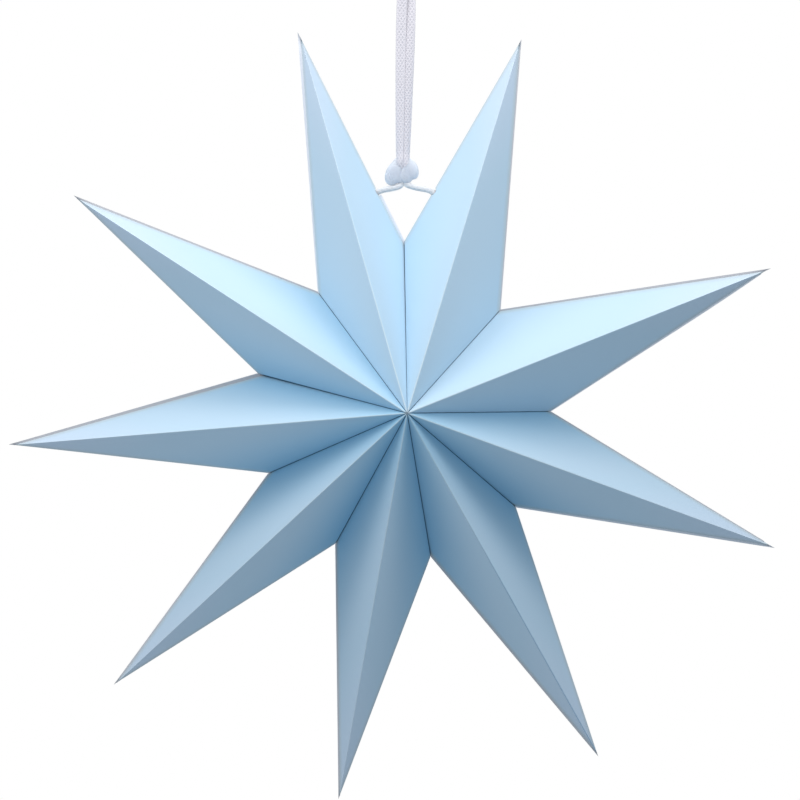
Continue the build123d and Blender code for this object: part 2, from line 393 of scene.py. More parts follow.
def folded_place(graph, given):
    """Where each corner of the sheet's grid lies, how far it is from a fold, and its marks."""
    facet, across, along, inside = sheet_numbers(graph)
    base, start, side, from_start, from_end = valley_edge(graph, given, facet, across)
    narrow = graph.math("SUBTRACT", 1, along)
    nearest = graph.math("MINIMUM", from_start, from_end)

    # Along the point to its tip, with the valley edge turned down into the flap
    run = graph.vector("NORMALIZE", side)
    to_hub = graph.vector("SUBTRACT", given["Hub"], base)
    beside = graph.scaled(run, graph.vector("DOT_PRODUCT", to_hub, run))
    down = graph.vector("NORMALIZE", graph.vector("SUBTRACT", to_hub, beside))
    place = graph.between(base, given["Tip"], along)
    reach = graph.vector("LENGTH", graph.vector("SUBTRACT", given["Tip"], base))
    from_valley = graph.math("MULTIPLY", along, reach)
    valley = falloff(graph, from_valley, graph.math("MULTIPLY", given["Groove"], GROOVE_REACH))
    taper = graph.math("DIVIDE", nearest, graph.math("MULTIPLY", given["Flap Width"], FLAP_TAPER))
    flap = graph.math("MULTIPLY", inside, given["Flap Width"])
    flap = graph.math("MULTIPLY", flap, graph.math("MINIMUM", taper, 1))
    sink = graph.math("MULTIPLY_ADD", valley, given["Groove"], flap)
    place = graph.vector("ADD", place, graph.scaled(down, sink))

    # The tied seam has no glue, so its two sides stand a little apart and dent under the ribbon's pull
    arch = graph.math("MULTIPLY", graph.math("MULTIPLY", across, graph.math("SUBTRACT", 1, across)), 4)
    apart = graph.math("MULTIPLY", arch, graph.choose(facet, 0, 1, 1, 0))
    apart = graph.math("MULTIPLY", apart, graph.math("POWER", narrow, SEAM_FADE))
    place = graph.vector("ADD", place, graph.scaled(given["Seam Gap"], apart))
    by_notch = graph.choose(facet, 0, across, graph.math("SUBTRACT", 1, across), 0)
    dented = graph.math("MULTIPLY", graph.math("POWER", by_notch, 3), graph.math("SUBTRACT", 1, by_notch))
    dented = graph.math("MULTIPLY", dented, DENT_PEAK)
    dented = graph.math("MULTIPLY", dented, graph.math("POWER", narrow, DENT_FADE))

    # Each facet bows a little and ripples, and stays true at its folds
    normal = graph.vector("CROSS_PRODUCT", side, graph.vector("SUBTRACT", given["Tip"], start))
    normal = graph.vector("NORMALIZE", normal)
    ease = graph.math("MINIMUM", graph.math("MULTIPLY", along, EASE_IN), 1)
    noise = graph.add("ShaderNodeTexNoise", place, given["Seed"], *RIPPLE_NOISE, noise_dimensions="4D")
    ripple = graph.math("MULTIPLY", given["Ripple"], 2)
    lift = graph.math("MULTIPLY_ADD", graph.math("SUBTRACT", noise, 0.5), ripple, given["Bow"])
    lift = graph.math("MULTIPLY", lift, graph.math("MULTIPLY", arch, narrow))
    lift = graph.math("SUBTRACT", lift, graph.math("MULTIPLY", dented, given["Dent"]))
    place = graph.vector("ADD", place, graph.scaled(normal, graph.math("MULTIPLY", lift, ease)))

    marks = sheet_marks(graph, given, facet, along, from_start, from_end, from_valley)
    return place, graph.math("MULTIPLY", nearest, narrow), marks


# %% The glued lip
LIP_STEPS = 48
LIP_END_FROM = 0.965
# Brings the curve of the swell, which is widest two thirds of the way to the tip, to one
SWELL_PEAK = 6.75
# Half the lip's thickness thins to the least over the last sixteenth of the way to the tip
LIP_TAPER = 16
LIP_THINNING = 0.8
LIP_LEAST = 0.08 * MM
LIP_ROOT = 1.4
LIP_MERGE = 0.002 * MM


def lip_strip(graph, given, kind, notch):
    """A strip of doubled card between the edge of the facets and the outline, along one side of the point."""
    index = graph.add("GeometryNodeInputIndex")
    column = graph.math("FLOOR", graph.math("DIVIDE", graph.math("ADD", index, 0.5), LIP_STEPS + 1))
    share = graph.math("SUBTRACT", index, graph.math("MULTIPLY", column, LIP_STEPS + 1))
    along = graph.math("MULTIPLY", graph.math("DIVIDE", share, LIP_STEPS), given[kind + " Run"])
    inner = graph.between(given[notch], given["Tip"], along)
    outer = graph.between(given[kind + " Start"], given[kind + " End"], along)
    outwards = graph.vector("NORMALIZE", graph.vector("SUBTRACT", outer, inner))
    swell = graph.math("MULTIPLY", graph.math("POWER", along, 2), graph.math("SUBTRACT", 1, along))
    swell = graph.math("MULTIPLY", graph.math("MULTIPLY", swell, SWELL_PEAK), given["Lip Swell"])
    outer = graph.vector("ADD", outer, graph.scaled(outwards, swell))
    room = graph.math("MINIMUM", graph.math("MULTIPLY", graph.math("SUBTRACT", 1, along), LIP_TAPER), 1)
    card = graph.math("MULTIPLY_ADD", graph.math("MULTIPLY", given["Card"], room), LIP_THINNING, LIP_LEAST)
    root = graph.vector("SUBTRACT", inner, graph.scaled(outwards, graph.math("MULTIPLY", card, LIP_ROOT)))
    depth = graph.add("ShaderNodeCombineXYZ", 0, card, 0)
    strip = graph.add("GeometryNodeMeshGrid", 1.0, 1.0, 2, LIP_STEPS + 1)
    strip = graph.add("GeometryNodeStoreNamedAttribute", strip, None, "depth", depth, domain="POINT",
                      data_type="FLOAT_VECTOR")
    strip = marked(graph, strip, "edge", graph.add("ShaderNodeMapRange", along, LIP_END_FROM, 1.0, 0.0, 1.0))
    place = graph.vector("SUBTRACT", graph.between(root, outer, column), depth)
    strip = graph.add("GeometryNodeSetPosition", strip, None, place)
    depth = graph.add("GeometryNodeInputNamedAttribute", "depth", data_type="FLOAT_VECTOR")
    thick = graph.add("GeometryNodeExtrudeMesh", strip, None, graph.scaled(depth, 2), 1.0, False)
    closed = graph.join(thick, graph.add("GeometryNodeFlipFaces", strip))
    closed = graph.add("GeometryNodeMergeByDistance", closed, None, LIP_MERGE)
    closed = graph.add("GeometryNodeSetMaterial", closed, None, given[kind])
    closed = graph.add("GeometryNodeSetShadeSmooth", closed, None, False)
    shown = graph.add("FunctionNodeCompare", given[kind + " Run"], 0.0, operation="GREATER_THAN")
    return graph.add("GeometryNodeSwitch", shown, None, closed, input_type="GEOMETRY")


# %% The folded point's tree
def make_point_tree():
    """A folded sheet between four corners and a tip, with flaps, soft folds, thickness and a glued lip."""
    tree, given, result = new_tree("folded_point", "GeometryNodeTree", POINT_INPUTS,
                                   [("Geometry", "geometry")])
    graph = Graph(tree)
    place, by_fold, marks = folded_place(graph, given)
    sheet = graph.add("GeometryNodeMeshGrid", 1.0, 1.0, 4 * COLUMNS + 1, FLAP_ROWS + ROWS + 1)
    for name, value in marks.items():
        sheet = marked(graph, sheet, name, value)
    thin = graph.math("MULTIPLY_ADD", by_fold, FOLD_WALL_SLOPE, FOLD_WALL)
    sheet = marked(graph, sheet, "thin", graph.math("MINIMUM", thin, given["Card"]))
    sheet = graph.add("GeometryNodeSetPosition", sheet, None, place)
    wall = graph.add("GeometryNodeInputNamedAttribute", "thin", data_type="FLOAT")
    lining = graph.add("GeometryNodeExtrudeMesh", sheet, None, None, graph.math("MULTIPLY", wall, -1), False)
    lining = graph.add("GeometryNodeFlipFaces", lining)
    lining = graph.add("GeometryNodeSetMaterial", lining, None, given["Back"])
    face = graph.add("GeometryNodeSetMaterial", sheet, None, given["Face"])
    body = graph.add("GeometryNodeMergeByDistance", graph.join(lining, face), None, SHEET_MERGE)
    body = graph.add("GeometryNodeSetShadeSmooth", body, None, True)
    other_edge = lip_strip(graph, given, "Edge", "Other Notch")
    glued_lip = lip_strip(graph, given, "Lip", "Lip Notch")
    whole = graph.join(other_edge, glued_lip, body)
    tree.links.new(graph.add("GeometryNodeRealizeInstances", whole), result["Geometry"])
    return tree


point_tree = make_point_tree()
print("tree:", point_tree.name, len(point_tree.nodes), "nodes")

# %% [markdown]
# ## Nine points
# The same tree runs nine times with each point's own corners and lip widths. The result becomes a plain mesh,
# so that nothing live is left on the piece. On a few points the other side edge shows a strip of paper too.
# The two points at the tied seam are punched for the ribbon.

# %% What differs from point to point
# The notch, first or second, that the glued lip starts at, and its widths at that notch and at the tip
LIP_SIDES = (0, 1, 0, 1, 1, 1, 1, 1, 1)
LIPS_AT_NOTCH = tuple(w * MM for w in (0.3, 0.4, 0.7, 0.6, 0.8, 0.7, 0.6, 1.8, 0.6))
LIPS_AT_TIP = tuple(w * MM for w in (1.5, 0.6, 1.5, 1.1, 0.9, 0.8, 0.8, 1.2, 1.0))
# Which copy of the lip paper, with its painted light or shade, each point's lip gets
LIP_KINDS = {0: lip_painted_light, 2: lip_painted_shade, 3: lip_painted_light, 7: lip_painted_shade, 8: lip_painted_shade}
LIP_SWELLS = {2: 0.6 * MM}
# The strip on the other side edge: its widths at the notch and at the tip, the share it runs, and its paper,
# which is one of the lip paper's copies with painted light or shade
EDGES = {0: (0.9 * MM, 0.9 * MM, 0.236, lip_painted_light), 2: (0.2 * MM, 0.2 * MM, 0.98, lip_painted_light),
         3: (0.4 * MM, 0.35 * MM, 0.97, lip_painted_half_shade)}
NO_EDGE = (0.0, 0.0, 0.0, lip_painted_half_shade)
# How far the folded tip stands back and aside from the tip of the outline, in widths of the lip
TIP_BACK = 2.4
TIPS_ASIDE = (0.5, 0.4, 0.1, 0.4, 0.4, 0.4, 0.4, 0.4, 0.4)
# How strongly the painted valley shade shows, the ridges are rubbed pale with a painted highlight and a
# painted crease shadow lies along a fold, and the depth of the grooves
VALLEY_SHADE_SHARES = (0.15, 0.2, 0.1, 0.85, 0.9, 0.95, 1.0, 0.9, 0.6)
RIDGE_WEAR_AND_HIGHLIGHT_SHARES = (1.0, 1.0, 1.0, 1.0, 0.4, 0.8, 1.0, 1.0, 1.0)
FOLD_SHADOW_SHARES = {4: 1.0}
GROOVES = tuple(w * MM for w in (0.22, 0.22, 0.34, 0.4, 0.42, 0.42, 0.4, 0.4, 0.34))
# The tied seam, between the first two points: which way each one stands off it, how far, and its dent
SEAM_SENSES = {0: -1, 1: 1}
SEAM_GAP = 0.02 * MM
SEAM_DENT = 1.2 * MM


# %% Fold the points
def run_tree(name, tree, values):
    """Runs a geometry tree once with named inputs, and keeps the result as a plain mesh object."""
    holder = bpy.data.objects.new(name + "_holder", bpy.data.meshes.new(name + "_holder"))
    bpy.context.collection.objects.link(holder)
    modifier = holder.modifiers.new("tree", "NODES")
    modifier.node_group = tree
    for item in tree.interface.items_tree:
        if item.item_type == "SOCKET" and item.in_out == "INPUT" and item.name in values:
            modifier[item.identifier] = values[item.name]
    graph_now = bpy.context.evaluated_depsgraph_get()
    mesh = bpy.data.meshes.new_from_object(holder.evaluated_get(graph_now), preserve_all_data_layers=True,
                                           depsgraph=graph_now)
    mesh.name = name
    piece = bpy.data.objects.new(name, mesh)
    bpy.context.collection.objects.link(piece)
    bpy.data.objects.remove(holder)
    return piece


def drawn_in(notch, tip, width):
    """A notch drawn in towards the hub, so that a lip fits between it and the outline."""
    edge, inwards = (tip - notch).normalized(), (HUB - notch).normalized()
    return notch + inwards * (width / edge.cross(inwards).length)


def fold_point(number):
    """One point of the star, between its two notches."""
    sides, tip = (notches[number - 1], notches[number]), tips[number]
    lip_side = LIP_SIDES[number]
    lip_notch, other_notch = sides[lip_side], sides[1 - lip_side]
    edge_width, edge_at_tip, edge_run, edge_kind = EDGES.get(number, NO_EDGE)
    corners = [apex + (tip - apex).normalized() * PINHOLE for apex in (front_apex, back_apex)]
    if lip_side:
        corners.reverse()
    axis, towards = (tip - HUB).normalized(), (other_notch - lip_notch).normalized()
    folded_tip = tip + (towards * TIPS_ASIDE[number] - axis * TIP_BACK) * LIPS_AT_TIP[number]
    return run_tree(f"folded_point_{number + 1}", point_tree, {
        "Tip": folded_tip, "Hub": HUB,
        "Lip Notch": drawn_in(lip_notch, tip, LIPS_AT_NOTCH[number]),
        "Other Notch": drawn_in(other_notch, tip, edge_width),
        "First Apex": corners[0], "Second Apex": corners[1],
        "Crease": CREASE, "Groove": GROOVES[number], "Flap Width": FLAP_WIDTH, "Card": CARD,
        "Bow": BOW, "Ripple": RIPPLE, "Seed": float(number),
        "Seam Gap": Vector((SEAM_SENSES.get(number, 0) * SEAM_GAP, 0, 0)),
        "Dent": SEAM_DENT if number in SEAM_SENSES else 0.0,
        "Valley Shade": VALLEY_SHADE_SHARES[number], "Ridge Wear And Highlight": RIDGE_WEAR_AND_HIGHLIGHT_SHARES[number], "Fold Shadow": FOLD_SHADOW_SHARES.get(number, 0.0),
        "Lip Start": lip_notch, "Lip End": tip, "Lip Run": 1.0, "Lip Swell": LIP_SWELLS.get(number, 0.0),
        "Edge Start": other_notch, "Edge End": folded_tip + towards * edge_at_tip, "Edge Run": edge_run,
        "Face": blue_card, "Back": white_card, "Lip": LIP_KINDS.get(number, lip_painted_half_shade), "Edge": edge_kind})


points = [fold_point(number) for number in range(POINT_COUNT)]
print("points:", len(points), "with", sum(len(p.data.polygons) for p in points), "faces")


# %% Punch the ribbon's holes
# Where the ribbon's legs go in, as shares of the edge from the tied notch, and the holes just below them
LEG_SHARES = (0.240, 0.2485)
HOLE_BELOW_LEG = 0.004
HOLE_RADIUS = 2.3 * MM
HOLE_CUTS = 4
FINE_REACH = 2 * HOLE_RADIUS
PUNCH_REACH = 3 * HOLE_RADIUS
leg_ends = [tied_notch + (tip - tied_notch) * share for tip, share in zip(tips, LEG_SHARES)]
holes = [tied_notch + (tip - tied_notch) * (share - HOLE_BELOW_LEG) for tip, share in zip(tips, LEG_SHARES)]


def punch(piece, place, into):
    """A round hole in a point's side edge: faces near it are made finer, cut away and rounded off."""
    builder = bmesh.new()
    builder.from_mesh(piece.data)
    near = [f for f in builder.faces if any((v.co - place).length < FINE_REACH for v in f.verts)]
    edges = list(dict.fromkeys(e for f in near for e in f.edges))
    bmesh.ops.subdivide_edges(builder, edges=edges, cuts=HOLE_CUTS, use_grid_fill=True)
    inside = {}
    for vert in builder.verts:
        offset = vert.co - place
        beside = offset - into * offset.dot(into)
        if offset.length < PUNCH_REACH and 0 < beside.length < HOLE_RADIUS:
            inside[vert] = beside
    gone = [f for f in builder.faces if all(v in inside for v in f.verts)]
    bmesh.ops.delete(builder, geom=gone, context="FACES")
    for vert, beside in inside.items():
        if vert.is_valid:
            vert.co += beside * (HOLE_RADIUS / beside.length - 1)
    builder.to_mesh(piece.data)
    builder.free()


for piece, place, tip, sense in zip(points, holes, tips, SEAM_SENSES.values()):
    edge = (tip - tied_notch).normalized()
    punch(piece, place, Vector((edge.z, 0, -edge.x)) * sense)
for number, piece in enumerate(points):
    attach(piece, "root")
    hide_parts(f"point_{number + 1}")
print("punched:", points[0].name, points[1].name)

# %% [markdown]
# ## Ribbon route
# The hanging ribbon is one woven band, about six millimetres wide. It starts at a stop knot inside the first
# point, comes out of a punched hole, goes up through the knot and over the hook, and comes back the same way
# to the next point. A cord is best drawn as one smooth NURBS line guided by a few given points; the
# band is then built along points that are read from that line.

# %% The route's points
KNOT_RISE = 39.8 * MM
RIBBON_WIDTH = 6.0 * MM
RIBBON_THICKNESS = 0.5 * MM
knot_place = Vector((HUB.x, 0, tied_notch.z + KNOT_RISE))


def middle_of(node):
    """The middle of a node's box."""
    low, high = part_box(node)
    return (Vector(low) + Vector(high)) / 2


def by_knot(x, y, z):
    """A place in millimetres from the knot's middle."""
    return knot_place + Vector((x, y, z)) * MM


def by_hook(x, y, z):
    """A place in millimetres from the top of the hook, which is the frame's origin."""
    return Vector((x, y, z)) * MM


stops = [middle_of("left_stop_knot"), middle_of("right_stop_knot")]
route = [
    stops[0], leg_ends[0], by_knot(-6.5, 0, -10.2), by_knot(-0.6, 0, -8.6), by_knot(-1.0, 0, -4.0),
    by_knot(-1.5, -1.0, 0.5), by_knot(-2.1, -2.6, 5.0), by_knot(-2.2, -1.0, 12.0),
    by_hook(-3.35, -0.7, -26.0), by_hook(-0.9, -3.3, -7.0), by_hook(0, -3.3, 0.25),
    by_hook(0, 3.3, 0.25), by_hook(0.7, 3.3, -7.0), by_hook(2.35, -0.3, -26.0),
    by_knot(2.0, -0.4, 12.0), by_knot(2.0, -1.9, 5.0), by_knot(1.5, -1.0, 0.5),
    by_knot(1.0, 0, -4.0), by_knot(0.9, 0, -7.6), by_knot(7.0, 0, -9.7), leg_ends[1], stops[1],
]


def read_line(points, fineness):
    """Points along the smooth line of a route, as its curve gives them."""
    curve = bpy.data.curves.new("route", "CURVE")
    curve.dimensions = "3D"
    curve.resolution_u = fineness
    spline = curve.splines.new("NURBS")
    spline.points.add(len(points) - 1)
    for corner, place in zip(spline.points, points):
        corner.co = (*place, 1)
    spline.order_u = 3
    spline.use_endpoint_u = True
    holder = bpy.data.objects.new("route", curve)
    bpy.context.collection.objects.link(holder)
    mesh = bpy.data.meshes.new_from_object(holder.evaluated_get(bpy.context.evaluated_depsgraph_get()))
    line = np.array([v.co for v in mesh.vertices])
    bpy.data.objects.remove(holder)
    bpy.data.meshes.remove(mesh)
    return line


def run_of(line):
    """How far along a line each of its points lies."""
    return np.concatenate([[0], np.cumsum(np.linalg.norm(np.diff(line, axis=0), axis=1))])


ROW_STEP = 0.3 * MM
LINE_FINENESS = 240
fine_line = read_line(route, LINE_FINENESS)
fine_run = run_of(fine_line)
row_numbers = np.searchsorted(fine_run, np.arange(0, fine_run[-1], ROW_STEP))
ribbon_line = fine_line[np.unique(np.append(row_numbers, len(fine_line) - 1))]
ribbon_run = run_of(ribbon_line)
print("ribbon:", round(ribbon_run[-1] / MM, 1), "mm long,", len(ribbon_line), "rows")

# %% [markdown]
# ## Ribbon weave
# Close up, the ribbon is an open flat braid: two sets of threads cross at a slant and leave small darker
# diamonds, with a smooth bright selvage along each edge. One shader group draws the braid on the band's own
# map, in millimetres, so that the pattern follows every fold. The rolled legs and the knot, where the braid
# is stretched, use it more faintly.

# %% The braid that the band and its knots share
BRAID_LENGTH = 3.0
BRAID_WIDTH = 2.0
THREAD_SHARE = 0.3
THREAD_SOFT = 0.16
SELVAGE = 0.85
SELVAGE_SOFT = 0.2
RIM = 0.3
RIM_SOFT = 0.25
# The fuzz's scale, detail, roughness and lacunarity, and how much of a diamond it leaves and adds
FUZZ_NOISE = (5.0, 1.4, 2.0, 0.6)
FUZZ_LEAST = 0.4
FUZZ_SPREAD = 1.2
HALF_BAND = RIBBON_WIDTH / MM / 2


def make_braid_group():
    """Braid colour and height from the map of a band: across and along, in millimetres."""
    tree, given, result = new_tree(
        "flat_braid", "ShaderNodeTree",
        [("Thread", "color"), ("Gap", "color"), ("Contrast", "float"), ("Rim", "float")],
        [("Colour", "color"), ("Height", "float")])
    graph = Graph(tree)
    place = graph.add("ShaderNodeUVMap", uv_map="band")
    across = graph.add("ShaderNodeSeparateXYZ", place)
    along = across.node.outputs[1]
    thread = THREAD_SHARE / 2
    cell = 1.0
    for lean in (1, -1):
        step = graph.math("DIVIDE", along, BRAID_LENGTH)
        slant = graph.math("MULTIPLY_ADD", across, lean / BRAID_WIDTH, step)
        from_thread = graph.math("PINGPONG", slant, 0.5)
        beside = graph.add("ShaderNodeMapRange", from_thread, thread, thread + THREAD_SOFT, 0.0, 1.0)
        cell = graph.math("MULTIPLY", beside, cell)
    inside = graph.math("SUBTRACT", HALF_BAND, graph.math("ABSOLUTE", across))
    inner = graph.add("ShaderNodeMapRange", inside, SELVAGE, SELVAGE + SELVAGE_SOFT, 0.0, 1.0)
    rim = graph.add("ShaderNodeMapRange", inside, RIM, RIM + RIM_SOFT, 1.0, 0.0)
    fuzz = graph.add("ShaderNodeTexNoise", place, *FUZZ_NOISE)
    fuzz = graph.math("MULTIPLY_ADD", fuzz, FUZZ_SPREAD, FUZZ_LEAST)
    cell = graph.math("MULTIPLY", graph.math("MULTIPLY", cell, inner), fuzz)
    gap = graph.math("MULTIPLY", cell, given["Contrast"])
    gap = graph.math("MAXIMUM", gap, graph.math("MULTIPLY", rim, given["Rim"]))
    colour = graph.add("ShaderNodeMix", gap, given["Thread"], given["Gap"], data_type="RGBA")
    tree.links.new(colour, result["Colour"])
    tree.links.new(graph.math("SUBTRACT", 1, cell), result["Height"])
    return tree


braid_group = make_braid_group()
print("group:", braid_group.name)

# %% The ribbon's three whites
THREAD_WHITE = (0.77, 0.715, 0.745, 1)
LEG_WHITE = (0.90, 0.87, 0.87, 1)
THREAD_GAP = (0.50, 0.47, 0.52, 1)
KNOT_WHITE = (0.64, 0.655, 0.71, 1)
BUMP_STRENGTH = 0.4
BUMP_HEIGHT = 0.2 * MM
CLOTH_DEPTH = 6.0 * MM


def ribbon_material(name, thread, contrast, rim, soft):
    """Woven ribbon: a soft sheen, and a share of light that passes into the cloth."""
    material, graph, shader = new_material(name)
    links = material.node_tree.links
    braid = material.node_tree.nodes.new("ShaderNodeGroup")
    braid.node_tree = braid_group
    braid.inputs["Thread"].default_value = thread
    braid.inputs["Gap"].default_value = THREAD_GAP
    braid.inputs["Contrast"].default_value = contrast
    braid.inputs["Rim"].default_value = rim
    relief = graph.add("ShaderNodeBump", BUMP_STRENGTH, BUMP_HEIGHT)
    links.new(braid.outputs["Height"], relief.node.inputs["Height"])
    links.new(braid.outputs["Colour"], shader.inputs["Base Color"])
    links.new(relief, shader.inputs["Normal"])
    shader.inputs["Roughness"].default_value = 0.5
    shader.inputs["Sheen Weight"].default_value = 0.2
    shader.inputs["Sheen Roughness"].default_value = 0.4
    shader.inputs["Subsurface Weight"].default_value = soft
    shader.inputs["Subsurface Radius"].default_value = (1, 1, 1)
    shader.inputs["Subsurface Scale"].default_value = CLOTH_DEPTH
    return material


braid_white = ribbon_material("braid_white", THREAD_WHITE, contrast=0.5, rim=0.15, soft=0.0)
leg_white = ribbon_material("leg_white", LEG_WHITE, contrast=0.1, rim=0.3, soft=0.3)
knot_white = ribbon_material("knot_white", KNOT_WHITE, contrast=0.1, rim=0.0, soft=0.8)
print("materials:", braid_white.name, leg_white.name, knot_white.name)

# %% [markdown]
# ## Ribbon band
# The band lies flat over the hook. Towards the knot it gathers and its edges curl back until, on the two
# short legs, it is rolled into a thin cord. So each row of the band is an arc of the ribbon: flat at the top,
# narrower and rounder at the knot, and almost a closed tube on the legs.

# %% How the band lies at each row
ACROSS = 20
# How far a row is rolled, in radians, its share of the full width, and its turn outwards
FLAT_ROW = (0.35, 1.0, 0.0)
KNOT_ROW = (1.5, 0.8, 0.5)
LEG_ROW = (5.7, 1.36, 0.0)
# Heights above the knot's middle and runs from them, in millimetres; the gather opens by a power of its run
KNOT_TOP = 7.0
GATHER_RUN = 85.0
GATHER_EASE = 0.7
LEG_TURN_TOP = 4.0
LEG_TURN_RUN = 8.0
# Which way a row looks on the strands and on the legs
FORWARD = np.array((0, -1.0, 0))
LEG_OUT = np.array((0, -0.55, 0.83))
# The stretch below the hook where a row looks to the hook, the one below that where the band flattens, and
# the share of its roll that is left then
HOOK_RUN = 12.0 * MM
FLATTEN_RUN = 15.0 * MM
LEAST_CURL = 0.03


def row_form(height):
    """A row's roll, share of the width and turn: from the knot's up to the flat one, or down to the leg's."""
    if height > KNOT_TOP:
        share, other = min((height - KNOT_TOP) / GATHER_RUN, 1) ** GATHER_EASE, FLAT_ROW
    else:
        share, other = min((KNOT_TOP - height) / (2 * KNOT_TOP), 1), LEG_ROW
    return [a + (b - a) * share for a, b in zip(KNOT_ROW, other)]


def row_frame(place, along, height):
    """The directions across a row and out of its face.

    The face looks forward on the strands, up and forward on the legs, and to the hook at the top.
    """
    share = min(max((LEG_TURN_TOP - height) / LEG_TURN_RUN, 0), 1)
    out = FORWARD * (1 - share) + LEG_OUT * share
    if place[2] > -HOOK_RUN:
        out = np.cross(along, (1.0, 0, 0))
    out = out - along * (out @ along)
    out /= np.linalg.norm(out)
    return np.cross(along, out), out


def braid_relief(across, along):
    """One on the threads and the selvage, and less in the diamonds between them."""
    cell = np.ones_like(across)
    for lean in (1, -1):
        slant = lean * across / BRAID_WIDTH + along / BRAID_LENGTH
        from_thread = np.abs((slant + 0.5) % 1 - 0.5)
        cell = cell * np.clip((from_thread - THREAD_SHARE / 2) / THREAD_SOFT, 0, 1)
    return 1 - cell * np.clip((HALF_BAND - SELVAGE - np.abs(across)) / SELVAGE_SOFT, 0, 1)


# %% The rows of the band
WEAVE_RELIEF = 0.08 * MM
EDGE_ROUNDNESS = 8
EDGE_LEAST = 0.05


def band_rows():
    """For each place along the line: one closed loop round the band."""
    ahead = np.gradient(ribbon_line, axis=0)
    ahead /= np.linalg.norm(ahead, axis=1)[:, None]
    turned = np.argmax(ribbon_line[:, 2] > -HOOK_RUN)
    shares = np.linspace(-1, 1, ACROSS + 1)
    rounded = np.sqrt(np.clip(1 - np.abs(shares) ** EDGE_ROUNDNESS, EDGE_LEAST, 1))
    loops = []
    for number, (place, along) in enumerate(zip(ribbon_line, ahead)):
        height = (place[2] - knot_place.z) / MM
        side, out = row_frame(place, along, height)
        curl, breadth, turn = row_form(height)
        curl *= np.clip((-place[2] - HOOK_RUN) / FLATTEN_RUN, LEAST_CURL, 1)
        radius = RIBBON_WIDTH * breadth / curl
        angles = shares * curl / 2 - turn
        centre = radius * math.sin(curl / 2) / (curl / 2)
        sunk = WEAVE_RELIEF * (1 - braid_relief(shares * HALF_BAND, ribbon_run[number] / MM))
        thick = RIBBON_THICKNESS / 2 * rounded - sunk
        faces = []
        for sign in (1, -1):
            reach = radius + sign * thick
            spread = reach * np.sin(angles) + centre * math.sin(turn)
            rise = reach * np.cos(angles) - centre * math.cos(turn)
            faces.append(place + np.outer(spread, side) + np.outer(rise, out))
        loop = np.concatenate([faces[0], faces[1][::-1]])
        # From the hook on, it is the band's other face that looks out, so the loop starts on that face
        loops.append(np.roll(loop, ACROSS + 1, axis=0) if number >= turned else loop)
    return loops


# %% Build the band
def make_band():
    """The ribbon as one closed mesh along its line."""
    loops = band_rows()
    ring = len(loops[0])
    mesh = bpy.data.meshes.new("ribbon_band")
    quads = []
    for row in range(len(loops) - 1):
        for corner in range(ring):
            a, b = row * ring + corner, row * ring + (corner + 1) % ring
            quads.append((a, b, b + ring, a + ring))
    caps = [tuple(range(ring))[::-1], tuple(range((len(loops) - 1) * ring, len(loops) * ring))]
    mesh.from_pydata(np.concatenate(loops).tolist(), [], quads + caps)
    builder = bmesh.new()
    builder.from_mesh(mesh)
    bmesh.ops.recalc_face_normals(builder, faces=builder.faces)
    layer = builder.loops.layers.uv.new("band")
    low = knot_place.z - KNOT_TOP * MM / 2
    half = np.linspace(-HALF_BAND, HALF_BAND, ACROSS + 1)
    across = np.concatenate([half, half[::-1]])
    for face in builder.faces:
        face.smooth = True
        face.material_index = int(face.verts[0].co.z < low)
        for loop in face.loops:
            row, corner = divmod(loop.vert.index, ring)
            loop[layer].uv = (across[corner], ribbon_run[row] / MM)
    builder.to_mesh(mesh)
    builder.free()
    for material in (braid_white, leg_white):
        mesh.materials.append(material)
    made = bpy.data.objects.new("ribbon_band", mesh)
    bpy.context.collection.objects.link(made)
    return made


band = make_band()
print("band:", len(band.data.polygons), "faces")

# %% [markdown]
# ## Knot
# The knot is the same ribbon pulled tight: a broad wrap on the left, a rounder one on the right, and a turn
# between them that runs down into the right leg. Soft lumps are joined by a voxel remesh, which rounds the
# joins as cloth would, and the creases and wrinkles are then pressed into the front and the back.

# %% Lumps of ribbon
KNOT_VOXEL = 0.25 * MM


def soft_lump(builder, place, lean, half_width, half_depth, half_length):
    """Adds a leaning round lump to a mesh under construction; its half sizes are in millimetres."""
    made = bmesh.ops.create_uvsphere(builder, u_segments=48, v_segments=32, radius=MM)
    turn = math.radians(lean)
    cosine, sine = math.cos(turn), math.sin(turn)
    for vert in made["verts"]:
        x, y, z = vert.co.x * half_width, vert.co.y * half_depth, vert.co.z * half_length
        vert.co = place + Vector((x * cosine + z * sine, y, z * cosine - x * sine))


def join_lumps(name, lumps, smooth_rounds, pressed=None):
    """One closed surface round several lumps, pressed to a shape if one is given, and smoothed a little."""
    mesh = bpy.data.meshes.new(name)
    builder = bmesh.new()
    for lump in lumps:
        soft_lump(builder, *lump)
    if pressed:
        for vert in builder.verts:
            vert.co = pressed(vert.co)
    builder.to_mesh(mesh)
    builder.free()
    piece = bpy.data.objects.new(name, mesh)
    bpy.context.collection.objects.link(piece)
    remesh = piece.modifiers.new("remesh", "REMESH")
    remesh.mode = "VOXEL"
    remesh.voxel_size = KNOT_VOXEL
    smooth = piece.modifiers.new("smooth", "SMOOTH")
    smooth.factor = 0.5
    smooth.iterations = smooth_rounds
    solid = bpy.data.meshes.new_from_object(piece.evaluated_get(bpy.context.evaluated_depsgraph_get()))
    piece.modifiers.clear()
    piece.data = solid
    solid.name = name
    return piece


